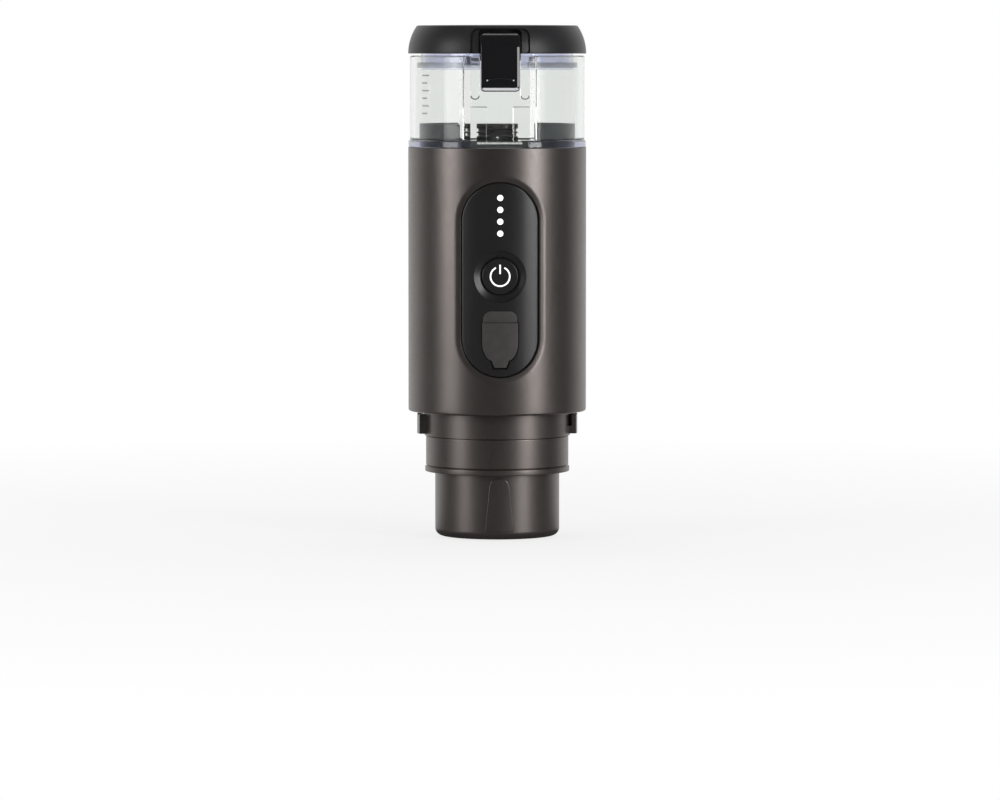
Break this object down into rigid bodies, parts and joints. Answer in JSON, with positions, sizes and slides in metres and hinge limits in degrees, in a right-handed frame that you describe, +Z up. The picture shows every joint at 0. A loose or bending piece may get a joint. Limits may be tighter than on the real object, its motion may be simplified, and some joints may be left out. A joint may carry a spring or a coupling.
{
  "type": "portable espresso maker",
  "caption": "Slim round battery espresso maker with latched lid, clear water tank, front panel with button and flap, and screw-off brew head.",
  "frame": {"origin": "centre of the flat underside of the lower shroud, on the surface it stands on", "axes": "+Z up along the body to the lid, -Y towards the control panel and the latch, +X to the panel's right seen from the front"},
  "size_m": [0.07, 0.073, 0.2009],
  "materials": {
    "body": "satin",
    "panel": "semi-gloss",
    "light": "lit",
    "button": "semi-gloss",
    "switch": "matte",
    "rubber": "matte",
    "jack": "matte",
    "board": "satin",
    "steel": "brushed",
    "stainless": "polished",
    "clear": "clear",
    "marks": "matte",
    "black_plastic": "satin",
    "silicone": "matte",
    "element": "satin",
    "lid": "satin",
    "latch": "gloss",
    "cell": "satin sleeve",
    "tray": "matte",
    "magnet": "matte",
    "brass": "satin",
    "iron": "satin",
    "copper": "enamelled",
    "gear": "satin",
    "pump": "satin",
    "tubing": "translucent",
    "head": "satin",
    "basket": "satin"
  },
  "bodies": {
    "body": {"body_shell": "body", "control_panel": "panel", "light_lenses": "light", "status_lights": "light", "power_switch": "switch", "port_flap_tab": "rubber", "charging_jack": "jack", "main_board": "board", "panel_screws": "steel", "water_tank": "clear", "tank_marks": "marks", "heater_base": "black_plastic", "tank_seal": "silicone", "heater_plate": "stainless", "heating_element": "element", "strainer": "black_plastic", "thermal_cutout": "steel", "temperature_sensor": "brass", "lid_hinge_pin": "stainless", "battery_cells": "cell", "lower_tray": "tray", "upper_tray": "tray", "tray_screws": "steel", "motor_can": "steel", "motor_end_cap": "black_plastic", "motor_magnets": "magnet", "motor_bearings": "brass", "pump_housing": "pump", "pump_cover": "pump", "pump_screws": "steel", "shaft_seal": "silicone", "inlet_tube": "tubing", "outlet_tube": "tubing", "chassis": "head", "brew_plate": "black_plastic", "piercing_needles": "stainless", "brew_plate_screws": "steel", "brew_gasket": "silicone"},
    "lid": {"lid_shell": "lid", "lid_plug": "clear", "lid_gasket": "silicone", "latch_pin": "stainless", "latch_spring": "stainless"},
    "latch": {"latch_plate": "latch"},
    "button": {"power_button": "button", "power_symbol": "light", "switch_plunger": "switch"},
    "flap": {"port_flap": "rubber"},
    "rotor": {"motor_shaft": "stainless", "armature_core": "iron", "armature_windings": "copper", "drive_gear": "gear"},
    "driven_rotor": {"driven_gear": "gear"},
    "basket": {"capsule_basket": "basket", "sieve_plate": "stainless"},
    "head": {"brew_head": "head", "lower_shroud": "head", "outlet_spout": "black_plastic"}
  },
  "joints": [
    {"name": "lid_hinge", "type": "hinge", "parent": "body", "child": "lid", "pos_m": [0, 0.03415, 0.1873], "axis": [-1, 0, 0], "range_deg": [0, 100]},
    {"name": "latch_pivot", "type": "hinge", "parent": "lid", "child": "latch", "pos_m": [0, -0.0309, 0.1948], "axis": [-1, 0, 0], "range_deg": [0, 60], "stiffness_Nm_per_rad": 0.004},
    {"name": "power_button_press", "type": "slide", "parent": "body", "child": "button", "axis": [0, 1, 0], "range_m": [0, 0.0008], "stiffness_N_per_m": 900},
    {"name": "port_flap_hinge", "type": "hinge", "parent": "body", "child": "flap", "pos_m": [0, -0.03415, 0.08525], "axis": [-1, 0, 0], "range_deg": [0, 110], "stiffness_Nm_per_rad": 0.0006},
    {"name": "motor_spin", "type": "hinge", "parent": "body", "child": "rotor", "pos_m": [0, -0.005, 0.09], "axis": [0, 0, 1], "continuous": true},
    {"name": "driven_gear_spin", "type": "hinge", "parent": "body", "child": "driven_rotor", "pos_m": [0, 0.0034, 0.068], "axis": [0, 0, 1], "continuous": true},
    {"name": "brew_head_drop", "type": "slide", "parent": "body", "child": "basket", "axis": [0, 0, -1], "range_m": [0, 0.0121]},
    {"name": "brew_head_twist", "type": "hinge", "parent": "basket", "child": "head", "pos_m": [0, 0, 0.03], "axis": [0, 0, -1], "range_deg": [0, 180]}
  ],
  "couplings": [
    {"joint": "driven_gear_spin", "follows": "motor_spin", "ratio": -1},
    {"joint": "brew_head_drop", "follows": "brew_head_twist", "m_per_rad": 0.0038197}
  ]
}
